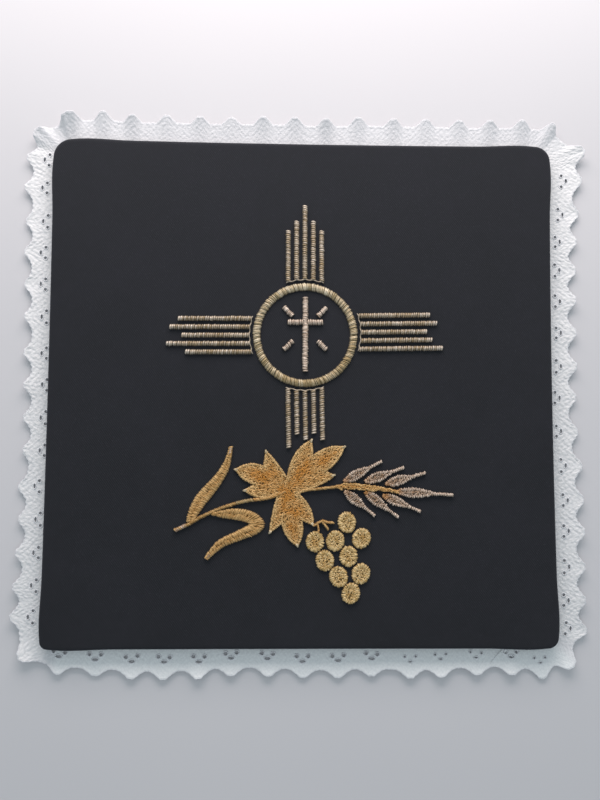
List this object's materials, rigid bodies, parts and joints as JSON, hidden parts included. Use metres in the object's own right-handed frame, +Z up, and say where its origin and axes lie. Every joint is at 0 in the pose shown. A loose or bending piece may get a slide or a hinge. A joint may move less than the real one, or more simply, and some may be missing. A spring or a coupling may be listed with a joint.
{
  "type": "chalice pall",
  "caption": "Stiff square altar cloth in black with a white scalloped lace edging and raised gold embroidery, laid over a chalice.",
  "frame": {"origin": "middle of the case's flat underside, on the surface that it rests on", "axes": "+Z up out of the embroidered face, +Y towards the top of the embroidery, +X to its right"},
  "size_m": [0.1821, 0.1798, 0.0054],
  "materials": {
    "black_cloth": "fine matt twill",
    "white_lace": "matt cotton, closely stitched",
    "pale_gold_thread": "metallic satin stitch",
    "warm_gold_thread": "metallic satin stitch",
    "straw_gold_thread": "metallic satin stitch",
    "rose_silver_thread": "metallic satin stitch"
  },
  "bodies": {
    "root": {"cover": "black_cloth", "lace_edging": "white_lace", "ring": "pale_gold_thread", "bar_top_1": "pale_gold_thread", "bar_top_2": "pale_gold_thread", "bar_top_3": "pale_gold_thread", "bar_top_4": "pale_gold_thread", "bar_top_5": "pale_gold_thread", "bar_left_1": "pale_gold_thread", "bar_left_2": "pale_gold_thread", "bar_left_3": "pale_gold_thread", "bar_left_4": "pale_gold_thread", "bar_left_5": "pale_gold_thread", "bar_bottom_1": "pale_gold_thread", "bar_bottom_2": "pale_gold_thread", "bar_bottom_3": "pale_gold_thread", "bar_bottom_4": "pale_gold_thread", "bar_bottom_5": "pale_gold_thread", "bar_right_1": "pale_gold_thread", "bar_right_2": "pale_gold_thread", "bar_right_3": "pale_gold_thread", "bar_right_4": "pale_gold_thread", "bar_right_5": "pale_gold_thread", "cross": "rose_silver_thread", "ray_1": "rose_silver_thread", "ray_2": "rose_silver_thread", "ray_3": "rose_silver_thread", "ray_4": "rose_silver_thread", "leaf": "warm_gold_thread", "stem": "warm_gold_thread", "stalk": "warm_gold_thread", "tendril": "warm_gold_thread", "blade_upper": "warm_gold_thread", "blade_lower": "warm_gold_thread", "grain_1": "rose_silver_thread", "grain_2": "rose_silver_thread", "grain_3": "rose_silver_thread", "grain_4": "rose_silver_thread", "grain_5": "rose_silver_thread", "grain_6": "rose_silver_thread", "grain_7": "rose_silver_thread", "grape_1": "straw_gold_thread", "grape_2": "straw_gold_thread", "grape_3": "straw_gold_thread", "grape_4": "straw_gold_thread", "grape_5": "straw_gold_thread", "grape_6": "straw_gold_thread", "grape_7": "straw_gold_thread", "grape_8": "straw_gold_thread", "grape_9": "straw_gold_thread"}
  },
  "joints": []
}
